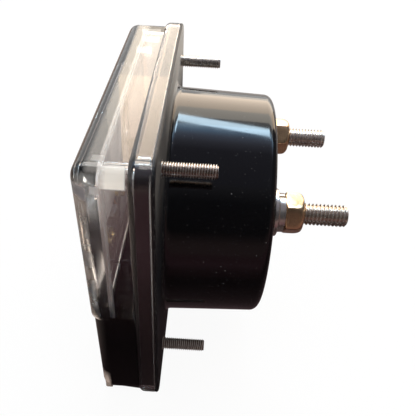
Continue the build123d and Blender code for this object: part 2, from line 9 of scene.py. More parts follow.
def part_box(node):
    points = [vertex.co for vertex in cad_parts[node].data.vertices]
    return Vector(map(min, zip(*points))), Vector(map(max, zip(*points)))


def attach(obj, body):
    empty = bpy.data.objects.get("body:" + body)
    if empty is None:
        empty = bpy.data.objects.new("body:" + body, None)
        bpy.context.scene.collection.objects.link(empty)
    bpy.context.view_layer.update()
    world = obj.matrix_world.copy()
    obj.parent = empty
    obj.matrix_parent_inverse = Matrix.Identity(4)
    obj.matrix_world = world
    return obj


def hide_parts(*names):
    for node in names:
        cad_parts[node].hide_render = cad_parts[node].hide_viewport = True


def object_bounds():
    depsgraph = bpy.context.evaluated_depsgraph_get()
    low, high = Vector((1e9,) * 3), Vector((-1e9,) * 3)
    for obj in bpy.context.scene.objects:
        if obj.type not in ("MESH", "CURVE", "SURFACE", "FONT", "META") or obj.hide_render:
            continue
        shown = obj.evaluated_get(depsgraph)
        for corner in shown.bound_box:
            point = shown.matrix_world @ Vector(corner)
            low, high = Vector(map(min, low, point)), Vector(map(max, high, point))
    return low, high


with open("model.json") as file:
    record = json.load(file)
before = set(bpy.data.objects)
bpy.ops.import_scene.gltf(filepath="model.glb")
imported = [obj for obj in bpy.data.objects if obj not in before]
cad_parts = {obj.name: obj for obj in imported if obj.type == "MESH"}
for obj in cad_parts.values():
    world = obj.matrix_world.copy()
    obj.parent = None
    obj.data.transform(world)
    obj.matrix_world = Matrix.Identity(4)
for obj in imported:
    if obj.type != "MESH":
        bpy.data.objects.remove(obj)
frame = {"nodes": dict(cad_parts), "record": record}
cad_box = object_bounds()
MM = 0.001


def low(node):
    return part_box(node)[0]


def high(node):
    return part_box(node)[1]


# Places of the studs and terminals, shared by their pieces and their materials.
STUD_X = STUD_Z = 22.0 * MM
WASHER_RADIUS = 4.4 * MM
TERMINAL_X = high("terminal_washers")[0] - WASHER_RADIUS
TERMINAL_Z = high("terminal_washers")[2] - WASHER_RADIUS

# Material helpers


def new_material(name):
    mat = bpy.data.materials.new(name)
    mat.use_nodes = True
    tree = mat.node_tree
    tree.nodes.clear()
    out = tree.nodes.new("ShaderNodeOutputMaterial")
    shader = tree.nodes.new("ShaderNodeBsdfPrincipled")
    tree.links.new(shader.outputs[0], out.inputs[0])
    coords = tree.nodes.new("ShaderNodeTexCoord")
    return mat, tree, shader, coords.outputs["Object"], out


def noise(tree, coord, scale, detail=3.0, rough=0.55, distortion=0.0):
    node = tree.nodes.new("ShaderNodeTexNoise")
    node.inputs["Scale"].default_value = scale
    node.inputs["Detail"].default_value = detail
    node.inputs["Roughness"].default_value = rough
    node.inputs["Distortion"].default_value = distortion
    tree.links.new(coord, node.inputs["Vector"])
    return node.outputs["Fac"]


def ramp(tree, factor, first, last, start=0.0, end=1.0):
    node = tree.nodes.new("ShaderNodeValToRGB")
    node.color_ramp.elements[0].position = start
    node.color_ramp.elements[1].position = end
    node.color_ramp.elements[0].color = tuple(first) + (1,)
    node.color_ramp.elements[1].color = tuple(last) + (1,)
    tree.links.new(factor, node.inputs[0])
    return node.outputs[0]


def spread(tree, value, first, last, start=0.0, end=1.0):
    # Goes from the first number to the last while the value goes from start to end.
    node = tree.nodes.new("ShaderNodeMapRange")
    node.inputs["From Min"].default_value = start
    node.inputs["From Max"].default_value = end
    node.inputs["To Min"].default_value = first
    node.inputs["To Max"].default_value = last
    tree.links.new(value, node.inputs["Value"])
    return node.outputs[0]


def math_node(tree, operation, a, b):
    node = tree.nodes.new("ShaderNodeMath")
    node.operation = operation
    for socket, value in ((node.inputs[0], a), (node.inputs[1], b)):
        if isinstance(value, (int, float)):
            socket.default_value = value
        else:
            tree.links.new(value, socket)
    return node.outputs[0]


def product(tree, first, *others):
    for other in others:
        first = math_node(tree, "MULTIPLY", first, other)
    return first


def largest(tree, first, *others):
    for other in others:
        first = math_node(tree, "MAXIMUM", first, other)
    return first


def mix_colour(tree, factor, a, b):
    node = tree.nodes.new("ShaderNodeMix")
    node.data_type = "RGBA"
    tree.links.new(factor, node.inputs["Factor"])
    for socket, value in ((node.inputs["A"], a), (node.inputs["B"], b)):
        if isinstance(value, tuple):
            socket.default_value = value + (1,)
        else:
            tree.links.new(value, socket)
    return node.outputs["Result"]


def mix_shaders(tree, factor, a, b, out):
    mix = tree.nodes.new("ShaderNodeMixShader")
    tree.links.new(factor, mix.inputs[0])
    tree.links.new(a.outputs[0], mix.inputs[1])
    tree.links.new(b.outputs[0], mix.inputs[2])
    tree.links.new(mix.outputs[0], out.inputs[0])


def seen_ray(tree):
    # 1 for the camera and for what metal and glass show, 0 for the light that falls on things.
    rays = tree.nodes.new("ShaderNodeLightPath").outputs
    return largest(tree, rays["Is Camera Ray"], rays["Is Glossy Ray"], rays["Is Transmission Ray"])


def between(tree, value, start, end, soft):
    # 1 where the value lies between two limits, falling to 0 over a soft edge.
    rising = spread(tree, value, 0.0, 1.0, start - soft, start)
    falling = spread(tree, value, 1.0, 0.0, end, end + soft)
    return product(tree, rising, falling)


def place_of(tree, coord):
    split = tree.nodes.new("ShaderNodeSeparateXYZ")
    tree.links.new(coord, split.inputs[0])
    return split.outputs


def zone(tree, place, limits):
    # The product of its limits, in millimetres: (axis, first, last, start, end) spreads two numbers
    # over a stretch of that axis, and (axis, start, end, soft) is a band with soft edges.
    factors = []
    for axis, *numbers in limits:
        value = place["XYZ".index(axis)]
        if len(numbers) == 4:
            first, last, start, end = numbers
            factors.append(spread(tree, value, first, last, start * MM, end * MM))
        else:
            start, end, soft = numbers
            factors.append(between(tree, value, start * MM, end * MM, soft * MM))
    return product(tree, *factors)


def bump(tree, shader, height, strength, distance):
    node = tree.nodes.new("ShaderNodeBump")
    node.inputs["Strength"].default_value = strength
    node.inputs["Distance"].default_value = distance
    tree.links.new(height, node.inputs["Height"])
    tree.links.new(node.outputs[0], shader.inputs["Normal"])


def specks(tree, coord, scale, share, size):
    # Small round grains of dust: 1 on a grain, 0 elsewhere.
    cells = tree.nodes.new("ShaderNodeTexVoronoi")
    cells.inputs["Scale"].default_value = scale
    tree.links.new(coord, cells.inputs["Vector"])
    split = tree.nodes.new("ShaderNodeSeparateColor")
    tree.links.new(cells.outputs["Color"], split.inputs[0])
    chosen = math_node(tree, "LESS_THAN", split.outputs[0], share)
    radius = product(tree, split.outputs[1], size)
    near = math_node(tree, "LESS_THAN", cells.outputs["Distance"], radius)
    return product(tree, chosen, near)


# Black plastic

PLASTIC_IOR = 1.5
LIGHTER = 1.7
BLOTCH_SCALE, SMEAR_SCALE, SPECKLE_SCALE, RIPPLE_SCALE = 60.0, 240.0, 2600.0, 160.0
SPECKLES = (0.0, 1.0, 0.56, 0.68)
NEARLY_EDGE_ON = (0.0, 1.0, 0.55, 0.75)
DUST_SCALE = 1300.0
FINE_DUST_SCALE = DUST_SCALE * 2.7
FINE_DUST_SHARE = 1.4
DUST_SIZE, FINE_DUST_SIZE = 0.15, 0.2
DUST_GREY = (0.11, 0.104, 0.102)
DUST_ROUGHNESS = 0.7
FLANGE_ROUGHNESS = 0.6
SPECKLE_GREY = (0.06, 0.055, 0.052)
# Painted sheen on the flange's matt back near its top.
SHEEN_GREY = (0.44, 0.42, 0.39)
# Painted reflection: the room's brown seen through the clear rim, on the flange under the cover.
COVERED_BROWN = (0.02, 0.008, 0.0095)
# Painted highlight on the mask's lower front edges: its colour and the widths it spans.
LIP_HIGHLIGHT_TAN = (0.62, 0.49, 0.42)
LIP_HIGHLIGHT_WIDTHS = (29.2 * MM, 29.9 * MM)
FLANGE_ZONES = {
    "matt": (("Y", 1.0, 0.0, 0.3, 0.6),),
    "covered": (("Y", 1.0, 0.0, -0.6, -0.5),),
    "sheen": (
        ("Z", 0.0, 1.0, 13.0, 23.0), ("X", 1.0, 0.12, -10.0, 16.0),
        ("Y", 0.0, 1.0, -0.2, 0.0), ("Y", 1.0, 0.0, 0.3, 0.6),
    ),
}
# Where the painted highlight on the mask's edges lies.
LIP_HIGHLIGHT_ZONE = (("Y", 1.0, 0.0, -10.3, -9.5), ("Z", 1.0, 0.0, -23.8, -20.5))


def black_plastic(name, base, low_rough, high_rough, dust_share, flange=False, lip=False):
    mat, tree, shader, coord, out = new_material(name)
    lighter = tuple(c * LIGHTER for c in base)
    colour = ramp(tree, noise(tree, coord, BLOTCH_SCALE, 4.0), base, lighter, 0.3, 0.75)
    rough = spread(tree, noise(tree, coord, SMEAR_SCALE, 5.0), low_rough, high_rough, 0.3, 0.7)
    dust = specks(tree, coord, DUST_SCALE, dust_share, DUST_SIZE)
    fine = specks(tree, coord, FINE_DUST_SCALE, dust_share * FINE_DUST_SHARE, FINE_DUST_SIZE)
    grains = largest(tree, dust, fine)
    rough = largest(tree, rough, product(tree, grains, DUST_ROUGHNESS))
    if flange:
        # The flange is matt and speckled behind, and painted dark brown where the clear cover sits round it:
        # a painted reflection of the room's tone seen through the rim.
        place = place_of(tree, coord)
        matt = zone(tree, place, FLANGE_ZONES["matt"])
        covered = zone(tree, place, FLANGE_ZONES["covered"])
        speckle = spread(tree, noise(tree, coord, SPECKLE_SCALE, 3.0), *SPECKLES)
        speckle = product(tree, speckle, math_node(tree, "SUBTRACT", matt, covered))
        colour = mix_colour(tree, speckle, colour, SPECKLE_GREY)
        # Seen almost edge on, the matt back near its top gets a painted sheen, a pale grey that stands for
        # the light of the room.
        slant = tree.nodes.new("ShaderNodeLayerWeight")
        flat = spread(tree, slant.outputs["Facing"], *NEARLY_EDGE_ON)
        sheen = product(tree, flat, zone(tree, place, FLANGE_ZONES["sheen"]))
        colour = mix_colour(tree, sheen, colour, SHEEN_GREY)
        colour = mix_colour(tree, covered, colour, COVERED_BROWN)
        rough = largest(tree, rough, product(tree, matt, FLANGE_ROUGHNESS))
    if lip:
        # The mask's lower front edges get a painted highlight, a pale tan streak for the light they catch.
        place = place_of(tree, coord)
        from_middle = math_node(tree, "ABSOLUTE", place[0], 0.0)
        wide = spread(tree, from_middle, 0.0, 1.0, *LIP_HIGHLIGHT_WIDTHS)
        lip_highlight = product(tree, wide, zone(tree, place, LIP_HIGHLIGHT_ZONE))
        colour = mix_colour(tree, lip_highlight, colour, LIP_HIGHLIGHT_TAN)
    tree.links.new(mix_colour(tree, grains, colour, DUST_GREY), shader.inputs["Base Color"])
    tree.links.new(rough, shader.inputs["Roughness"])
    shader.inputs["IOR"].default_value = PLASTIC_IOR
    bump(tree, shader, noise(tree, coord, RIPPLE_SCALE, 2.0), 0.02, 0.4 * MM)
    return mat


# Metal. A thread's roots are darkened, and the end faces further in, by these margins, are not.

STAIN_SCALE_SHARE, SMEAR_SCALE_SHARE, WAVE_SCALE_SHARE = 0.6, 2.2, 3.0
ROOT_MARGINS = (0.06 * MM, 0.03 * MM)
LEFT_ROOT_SHARE = 0.35
MIDDLE_LIMITS = (-5.0 * MM, 5.0 * MM)
LOWER_LIMITS = (-10.0 * MM, 0.0)
LOWER_ROUGHNESS = 0.3
LOWER_METALLIC = 0.85
STUD_GROOVE = {
    "x": STUD_X, "z": STUD_Z, "both_heights": True,
    "root": 1.06 * MM, "crest": 1.22 * MM, "root_colour": (0.26, 0.18, 0.14),
}
TERMINAL_GROOVE = {
    "x": TERMINAL_X, "z": TERMINAL_Z, "both_heights": False,
    "root": 1.72 * MM, "crest": 1.92 * MM, "root_colour": (0.48, 0.38, 0.3),
}


def rooted(tree, place, groove):
    # The thread's roots are darkened, found by their distance from the stud's own axis.
    across = math_node(tree, "SUBTRACT", math_node(tree, "ABSOLUTE", place[0], 0.0), groove["x"])
    height = math_node(tree, "ABSOLUTE", place[2], 0.0) if groove["both_heights"] else place[2]
    upright = math_node(tree, "SUBTRACT", height, groove["z"])
    squared = math_node(tree, "ADD", product(tree, across, across), product(tree, upright, upright))
    radial = math_node(tree, "SQRT", squared, 0.0)
    inside = spread(tree, radial, 1.0, 0.0, groove["root"], groove["crest"])
    outside = spread(tree, radial, 0.0, 1.0, *(groove["root"] - margin for margin in ROOT_MARGINS))
    # The roots of the studs and terminals on the left are darkened less.
    return product(tree, inside, outside, spread(tree, place[0], LEFT_ROOT_SHARE, 1.0, *MIDDLE_LIMITS))


def metal(name, base, low_rough, high_rough, stain=0.75, scale=500.0, wave=0.05, groove=None, metallic=1.0):
    mat, tree, shader, coord, out = new_material(name)
    soft = noise(tree, coord, scale * STAIN_SCALE_SHARE, 4.0, 0.6, 0.4)
    colour = ramp(tree, soft, tuple(c * stain for c in base), base, 0.32, 0.62)
    smears = noise(tree, coord, scale * SMEAR_SCALE_SHARE, 5.0)
    rough = spread(tree, smears, low_rough, high_rough, 0.3, 0.7)
    shader.inputs["Metallic"].default_value = metallic
    if groove:
        place = place_of(tree, coord)
        colour = mix_colour(tree, rooted(tree, place, groove), colour, groove["root_colour"])
        if groove["both_heights"]:
            # The lower studs are duller, with a film of grime.
            rough = math_node(tree, "ADD", rough, spread(tree, place[2], LOWER_ROUGHNESS, 0.0, *LOWER_LIMITS))
            film = spread(tree, place[2], LOWER_METALLIC, metallic, *LOWER_LIMITS)
            tree.links.new(film, shader.inputs["Metallic"])
    tree.links.new(colour, shader.inputs["Base Color"])
    tree.links.new(rough, shader.inputs["Roughness"])
    bump(tree, shader, noise(tree, coord, scale * WAVE_SCALE_SHARE, 3.0), wave, 0.1 * MM)
    return mat


# Clear plastic. Its zones follow the walls of the cover.

CLEAR_IOR = 1.49
CLEAR_TONES = ((0.97, 0.955, 0.93), (1.0, 0.985, 0.965))
PATCH_SCALE, TONE_SCALE, POLISH_SCALE = 230.0, 90.0, 300.0
SCUFF_SCALE, PANE_SCALE, CLEAR_WAVE_SCALE = 220.0, 160.0, 70.0
# Numbers that follow a noise: the first and the last, and the noise at which each is reached.
POLISH = (0.0, 0.045, 0.35, 0.8)
BLUR = (0.5, 0.1, 0.42, 0.6)
SCUFFS = (0.0003, 0.0025, 0.3, 0.7)
PANE_GLOW = (0.1, 0.3, 0.35, 0.65)
PATCH_GLOW = (0.02, 0.22, 0.47, 0.6)
CORNER_ROUGHNESS = 0.5
INNER_ROUGHNESS = 0.22
# Painted light on the cover: cream reflection, darker near end as shade, white glow at the end, reflected
# room tones in patches, brown shade on the side wall.
CREAM = (0.98, 0.88, 0.75)
NEAR_END_GREY = (0.62, 0.58, 0.56)
END_WHITE = (1.0, 0.94, 0.85)
PATCH_TONES = ((0.38, 0.37, 0.39), (0.86, 0.72, 0.63))
INNER_BROWN = (0.14, 0.11, 0.11)
SHADOW_TINT = (0.94, 0.94, 0.94, 1)
COVER_ZONES = {
    # The inside corners of the front pane with the top wall and with the side wall.
    "top_corner": (("Z", 23.0, 24.3, 0.1), ("Y", -9.3, -8.1, 0.2)),
    "side_corner": (("X", 27.0, 28.4, 0.1), ("Y", -9.3, -7.9, 0.2)),
    # The near end of the thick top wall, painted white as a glow.
    "end": (
        ("X", 0.0, 0.85, 28.6, 29.2), ("Z", 24.1, 26.7, 0.2),
        ("Y", 0.0, 1.0, -8.4, -7.0), ("Y", 1.0, 0.0, -4.5, -4.2),
    ),
    # The rim's back edge, and its lower end, both given a painted glow.
    "edge": (("Y", 0.0, 0.22, -0.9, -0.7), ("X", 0.0, 1.0, 30.6, 31.4), ("Z", 0.25, 1.5, -10.0, 20.0)),
    "foot": (("Z", 0.42, 0.0, -26.8, -24.4), ("Y", 0.0, 1.0, -4.5, -4.1)),
    # The side wall beside the front pane, given a patchy painted glow.
    "pane": (("X", 0.0, 1.0, 30.0, 30.6), ("Y", 1.0, 0.0, -8.8, -8.0), ("Z", 0.0, 1.0, -5.0, 20.0)),
    # The window's lower end, just above the mask, given a painted highlight.
    "ledge": (
        ("Z", 0.7, 0.0, -4.2, -3.4), ("Z", -5.5, 0.0, 0.1),
        ("Y", 1.0, 0.0, -10.8, -10.2), ("X", 0.3, 1.0, 25.0, 30.0),
    ),
    # The top wall above the inside corner, painted cream as a reflection, and its near end, painted darker as
    # shade.
    "cream": (("Y", -9.6, -7.9, 0.8), ("Z", 0.0, 1.0, 25.8, 26.4)),
    "near_end": (("X", 0.0, 0.7, 8.0, 28.5), ("Z", 0.0, 1.0, 25.6, 26.2)),
    # The rounded outer edge at the side of the pane, with painted patches of reflection, and the side wall
    # behind it, painted brown as shade.
    "outer": (("X", 0.0, 1.0, 28.3, 29.3), ("Y", 1.0, 0.0, -10.3, -9.7), ("Z", 1.0, 0.0, 23.5, 25.5)),
    "inner": (("X", 0.0, 0.9, 30.0, 30.4), ("Y", -10.1, -8.0, 0.4), ("Z", -3.0, 16.0, 6.0)),
}
# How strongly the painted glow of the top wall shows along X.
VEIL_SHARE = (("X", 0.36, 0.3, -10.0, 20.0),)


def clear_plastic(name):
    mat, tree, shader, coord, out = new_material(name)
    place = place_of(tree, coord)
    zones = {key: zone(tree, place, limits) for key, limits in COVER_ZONES.items()}
    patches = noise(tree, coord, PATCH_SCALE, 1.0, 0.5, 0.6)

    # Almost colourless, with painted light: a cream top wall as a painted reflection with a darker near end
    # as painted shade, a painted white glow at the top wall's end, painted patches of the room's tones
    # reflected on the outer edge, and painted brown shade on the side wall behind the pane.
    colour = ramp(tree, noise(tree, coord, TONE_SCALE, 3.0), *CLEAR_TONES, 0.3, 0.7)
    colour = mix_colour(tree, zones["cream"], colour, CREAM)
    colour = mix_colour(tree, zones["near_end"], colour, NEAR_END_GREY)
    colour = mix_colour(tree, zones["end"], colour, END_WHITE)
    colour = mix_colour(tree, zones["outer"], colour, ramp(tree, patches, *PATCH_TONES, 0.46, 0.56))
    colour = mix_colour(tree, zones["inner"], colour, INNER_BROWN)
    tree.links.new(colour, shader.inputs["Base Color"])

    # Polished, but for the moulded inside corners, the side wall behind the pane and the outer edge.
    polish = spread(tree, noise(tree, coord, POLISH_SCALE, 4.0), *POLISH)
    corner = product(tree, largest(tree, zones["top_corner"], zones["side_corner"]), CORNER_ROUGHNESS)
    blur = product(tree, zones["outer"], spread(tree, patches, *BLUR))
    rough = largest(tree, polish, corner, blur, product(tree, zones["inner"], INNER_ROUGHNESS))
    tree.links.new(rough, shader.inputs["Roughness"])

    # Faint scuffed haze, and a painted glow that shows these colours as if lit: at the ends and edges of the
    # clear walls, beside the pane, on the top wall and in patches on the outer edge.
    scuffs = spread(tree, noise(tree, coord, SCUFF_SCALE, 4.0), *SCUFFS)
    pane = product(tree, zones["pane"], spread(tree, noise(tree, coord, PANE_SCALE, 2.0), *PANE_GLOW))
    veil = product(tree, zones["cream"], zone(tree, place, VEIL_SHARE))
    painted_patches = product(tree, zones["outer"], spread(tree, patches, *PATCH_GLOW))
    painted_glow = (zones[key] for key in ("end", "edge", "foot", "ledge"))
    haze_and_glow = largest(tree, scuffs, *painted_glow, pane, veil, painted_patches)
    tree.links.new(math_node(tree, "SUBTRACT", 1.0, haze_and_glow), shader.inputs["Transmission Weight"])
    shader.inputs["IOR"].default_value = CLEAR_IOR
    bump(tree, shader, noise(tree, coord, CLEAR_WAVE_SCALE, 1.0), 0.03, 0.6 * MM)

    # It lets the light of the lamps through to the dial.
    path = tree.nodes.new("ShaderNodeLightPath")
    clear = tree.nodes.new("ShaderNodeBsdfTransparent")
    clear.inputs[0].default_value = SHADOW_TINT
    mix_shaders(tree, path.outputs["Is Shadow Ray"], shader, clear, out)
    return mat


# Paint and wire

PAINT_SCALE = 400.0
WIRE_BANDS, WIRE_WAVER = 1500.0, 0.4


def paint(name, first, last, low_rough, high_rough):
    mat, tree, shader, coord, out = new_material(name)
    colour = ramp(tree, noise(tree, coord, PAINT_SCALE, 5.0), first, last, 0.3, 0.7)
    tree.links.new(colour, shader.inputs["Base Color"])
    rough = spread(tree, noise(tree, coord, PAINT_SCALE * 2, 4.0), low_rough, high_rough, 0.3, 0.7)
    tree.links.new(rough, shader.inputs["Roughness"])
    bump(tree, shader, noise(tree, coord, PAINT_SCALE * 6, 3.0), 0.08, 0.05 * MM)
    return mat


def wound_wire(name, base, dark):
    # Fine enamelled wire lying side by side round the former.
    mat, tree, shader, coord, out = new_material(name)
    rows = tree.nodes.new("ShaderNodeTexWave")
    rows.bands_direction = "DIAGONAL"
    rows.inputs["Scale"].default_value = WIRE_BANDS
    rows.inputs["Distortion"].default_value = WIRE_WAVER
    tree.links.new(coord, rows.inputs["Vector"])
    colour = ramp(tree, rows.outputs["Fac"], dark, base, 0.1, 0.7)
    tree.links.new(colour, shader.inputs["Base Color"])
    rough = spread(tree, noise(tree, coord, 800.0), 0.22, 0.4)
    tree.links.new(rough, shader.inputs["Roughness"])
    shader.inputs["Metallic"].default_value = 1.0
    bump(tree, shader, rows.outputs["Fac"], 0.5, 0.06 * MM)
    return mat


mats = {
    "case_black": black_plastic("case_black", (0.0012, 0.0012, 0.0014), 0.07, 0.12, 0.07, flange=True),
    "mask_black": black_plastic("mask_black", (0.001, 0.001, 0.0011), 0.04, 0.09, 0.05, lip=True),
    "screw_black": black_plastic("screw_black", (0.01, 0.01, 0.011), 0.25, 0.4, 0.05),
    "cover_clear": clear_plastic("cover_clear"),
    "stud_steel": metal(
        "stud_steel", (0.95, 0.89, 0.81), 0.2, 0.36, 0.78, 900.0, groove=STUD_GROOVE, metallic=0.94
    ),
    "terminal_metal": metal(
        "terminal_metal", (0.8, 0.73, 0.65), 0.2, 0.36, 0.74, 700.0, groove=TERMINAL_GROOVE, metallic=0.92
    ),
    "nut_brass": metal("nut_brass", (0.93, 0.64, 0.37), 0.12, 0.26, 0.68, metallic=0.97),
    "washer_metal": metal("washer_metal", (0.72, 0.66, 0.59), 0.1, 0.24, 0.72, 700.0, metallic=0.94),
    "lug_metal": metal("lug_metal", (0.75, 0.66, 0.5), 0.25, 0.42, 0.7),
    "iron": metal("iron", (0.42, 0.43, 0.45), 0.3, 0.5, 0.7),
    "magnet": metal("magnet", (0.3, 0.3, 0.32), 0.4, 0.6, 0.7),
    "die_cast": metal("die_cast", (0.6, 0.61, 0.62), 0.35, 0.55, 0.8, 800.0, 0.2),
    "small_screw": metal("small_screw", (0.62, 0.62, 0.62), 0.15, 0.3, 0.8),
    "jewel_brass": metal("jewel_brass", (0.8, 0.66, 0.36), 0.15, 0.3),
    "bronze": metal("bronze", (0.75, 0.52, 0.3), 0.2, 0.35),
    "coil_aluminium": metal("coil_aluminium", (0.8, 0.8, 0.81), 0.25, 0.4, 0.85),
    "coil_copper": wound_wire("coil_copper", (0.62, 0.26, 0.1), (0.25, 0.08, 0.03)),
    "pointer_black": paint("pointer_black", (0.012, 0.012, 0.013), (0.03, 0.03, 0.032), 0.5, 0.7),
    "dial_white": paint("dial_white", (0.82, 0.82, 0.8), (0.88, 0.88, 0.865), 0.45, 0.62),
    "dial_ink": paint("dial_ink", (0.01, 0.01, 0.01), (0.03, 0.03, 0.03), 0.5, 0.7),
    "lead_wire": metal("lead_wire", (0.72, 0.45, 0.28), 0.25, 0.45, 0.8),
}

slots = {part["node"]: part["material_slot"] for part in frame["record"]["subparts"]}
for node, obj in frame["nodes"].items():
    for slot in obj.material_slots:
        slot.material = mats[slots[node]]

# Mesh helpers

MERGE_DISTANCE = 2e-6
SHARP_DEGREES = 32.0


def add_piece(name, mesh, material, body, replaced=()):
    obj = bpy.data.objects.new(name, mesh)
    bpy.context.scene.collection.objects.link(obj)
    mesh.materials.append(material)
    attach(obj, body)
    if replaced:
        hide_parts(*replaced)


def finish_mesh(bm, name, sharp=SHARP_DEGREES):
    bmesh.ops.remove_doubles(bm, verts=bm.verts, dist=MERGE_DISTANCE)
    bmesh.ops.recalc_face_normals(bm, faces=bm.faces)
    mesh = bpy.data.meshes.new(name)
    bm.to_mesh(mesh)
    bm.free()
    mesh.shade_smooth()
    mesh.set_sharp_from_angle(angle=math.radians(sharp))
    return mesh


def rings_to_faces(bm, rings, closed=True):
    count = len(rings[0])
    for first, second in zip(rings, rings[1:]):
        for i in range(count):
            j = (i + 1) % count
            bm.faces.new([first[i], first[j], second[j], second[i]])
    if closed:
        bm.faces.new(rings[0])
        bm.faces.new(rings[-1][::-1])


def on_circle(bm, x, z, radius, angle, y):
    return bm.verts.new((x + radius * math.cos(angle), y, z + radius * math.sin(angle)))


# One turn of a thread: how far along its pitch, and how deep, as shares.
THREAD_SHARES = ((0.0, 0.0), (0.12, 0.0), (0.42, 1.0), (0.7, 1.0))
START_DEPTH_SHARE = 0.5
TIP_SLOPE = 1.1


def thread(bm, x, z, start, end, radius, pitch, depth, tip, count):
    # A screw thread along Y: rows follow the helix, so its crests stay sharp.
    turns = int((end - start) / pitch) + 3
    rings = []
    for turn in range(-2, turns):
        for share, fall in THREAD_SHARES:
            ring = []
            for i in range(count):
                y = start + (turn + share + i / count) * pitch
                r = radius - depth * fall
                if y < start:
                    r = radius - depth * START_DEPTH_SHARE
                if y > end - tip:
                    r = min(r, radius - (min(y, end) - (end - tip)) * TIP_SLOPE)
                ring.append(on_circle(bm, x, z, r, 2 * math.pi * i / count, min(max(y, start), end)))
            rings.append(ring)
    rings_to_faces(bm, rings)


def lathe(bm, x, z, profile, count=72):
    # Closed ring turned about the Y line through x, z.
    rings = [
        [on_circle(bm, x, z, r, 2 * math.pi * i / count, y) for i in range(count)]
        for r, y in profile + profile[:1]
    ]
    rings_to_faces(bm, rings, closed=False)


# Mounting studs, with their fine thread.
STUD_RADIUS = 1.25 * MM
STUD_PITCH, STUD_DEPTH, STUD_TIP = 0.42 * MM, 0.2 * MM, 0.24 * MM
STUD_POINTS = 40
THREAD_INSET = 0.5 * MM
HEAD_RADIUS, HEAD_THICKNESS, SHANK_RADIUS = 2.4 * MM, 1.2 * MM, 1.5 * MM
CORE_RADIUS = 0.4 * MM
HEAD_POINTS = 36

stud_start, stud_end = low("mounting_studs")[1], high("mounting_studs")[1]
head_end = stud_start + HEAD_THICKNESS
stud_profile = [
    (CORE_RADIUS, stud_start), (HEAD_RADIUS, stud_start), (HEAD_RADIUS, head_end),
    (SHANK_RADIUS, head_end), (SHANK_RADIUS, 0), (CORE_RADIUS, 0),
]
bm = bmesh.new()
for side_x in (-1, 1):
    for side_z in (-1, 1):
        x, z = side_x * STUD_X, side_z * STUD_Z
        thread(bm, x, z, -THREAD_INSET, stud_end, STUD_RADIUS, STUD_PITCH, STUD_DEPTH, STUD_TIP, STUD_POINTS)
        lathe(bm, x, z, stud_profile, HEAD_POINTS)
mesh = finish_mesh(bm, "stud_threads")
add_piece("stud_threads", mesh, mats["stud_steel"], "case", ["mounting_studs"])

# Terminals, with their coarse thread and the round of their head inside the case.
TERMINAL_RADIUS = 2.0 * MM
TERMINAL_PITCH, TERMINAL_DEPTH, TERMINAL_TIP = 0.7 * MM, 0.3 * MM, 0.34 * MM
TERMINAL_POINTS = 48
TERMINAL_HEAD_ENDS = (14.4 * MM, 17.0 * MM)
TERMINAL_HEAD_RADIUS, TERMINAL_HEAD_ROUND = 3.5 * MM, 0.2 * MM

terminal_end = high("terminal_studs")[1]
head_start, head_end = TERMINAL_HEAD_ENDS
terminal_profile = [
    (CORE_RADIUS, head_start), (TERMINAL_HEAD_RADIUS - TERMINAL_HEAD_ROUND, head_start),
    (TERMINAL_HEAD_RADIUS, head_start + TERMINAL_HEAD_ROUND),
    (TERMINAL_HEAD_RADIUS, head_end), (CORE_RADIUS, head_end),
]
bm = bmesh.new()
for side in (-1, 1):
    thread(
        bm, side * TERMINAL_X, TERMINAL_Z, head_end, terminal_end, TERMINAL_RADIUS,
        TERMINAL_PITCH, TERMINAL_DEPTH, TERMINAL_TIP, TERMINAL_POINTS
    )
    lathe(bm, side * TERMINAL_X, TERMINAL_Z, terminal_profile, HEAD_POINTS)
mesh = finish_mesh(bm, "terminal_threads")
add_piece("terminal_threads", mesh, mats["terminal_metal"], "case", ["terminal_studs"])

# Nuts: a hexagon whose corners are turned round at both ends, more at the outer one.
NUT_FLATS, NUT_BORE = 7.0 * MM, 1.75 * MM
NUT_TURNS = ((-1, 6), (1, -10))
NUT_POINTS = 144
NUT_STEPS = 9
NUT_WAIST_SHARE = 0.93
NUT_INNER_ROUND_SHARE, NUT_INNER_DROP_SHARE = 0.16, 0.8
NUT_OUTER_ROUND_SHARE, NUT_OUTER_DROP_SHARE = 0.5, 1.7
NUT_BLEND = 9000
NUT_SHARP_DEGREES = 40.0


def nut(bm, x, z, start, end, turn):
    corner = NUT_FLATS / 2 / math.cos(math.pi / 6)
    drop = corner - NUT_FLATS / 2 * NUT_WAIST_SHARE
    inner, outer = (end - start) * NUT_INNER_ROUND_SHARE, (end - start) * NUT_OUTER_ROUND_SHARE
    inner_drop, outer_drop = drop * NUT_INNER_DROP_SHARE, drop * NUT_OUTER_DROP_SHARE
    arc = [math.pi / 2 * k / NUT_STEPS for k in range(NUT_STEPS + 1)]
    stations = [(start + inner * (1 - math.cos(a)), corner - inner_drop * (1 - math.sin(a))) for a in arc]
    stations += [
        (end - outer * (1 - math.cos(a)), corner - outer_drop * (1 - math.sin(a))) for a in reversed(arc)
    ]

    def ring(y, limit=None):
        # The hexagon, smoothly kept inside the limit, or the bore where there is none.
        verts = []
        for i in range(NUT_POINTS):
            angle = 2 * math.pi * i / NUT_POINTS
            r = NUT_BORE
            if limit:
                hexagon = NUT_FLATS / 2 / math.cos((angle - turn) % (math.pi / 3) - math.pi / 6)
                r = -math.log(math.exp(-hexagon * NUT_BLEND) + math.exp(-limit * NUT_BLEND)) / NUT_BLEND
            verts.append(on_circle(bm, x, z, r, angle, y))
        return verts

    rings = [ring(start)] + [ring(y, limit) for y, limit in stations] + [ring(end), ring(start)]
    rings_to_faces(bm, rings, closed=False)


nut_start, nut_end = low("terminal_nuts")[1], high("terminal_nuts")[1]
bm = bmesh.new()
for side, turn in NUT_TURNS:
    nut(bm, side * TERMINAL_X, TERMINAL_Z, nut_start, nut_end, math.radians(turn))
mesh = finish_mesh(bm, "nut_bodies", NUT_SHARP_DEGREES)
add_piece("nut_bodies", mesh, mats["nut_brass"], "case", ["terminal_nuts"])

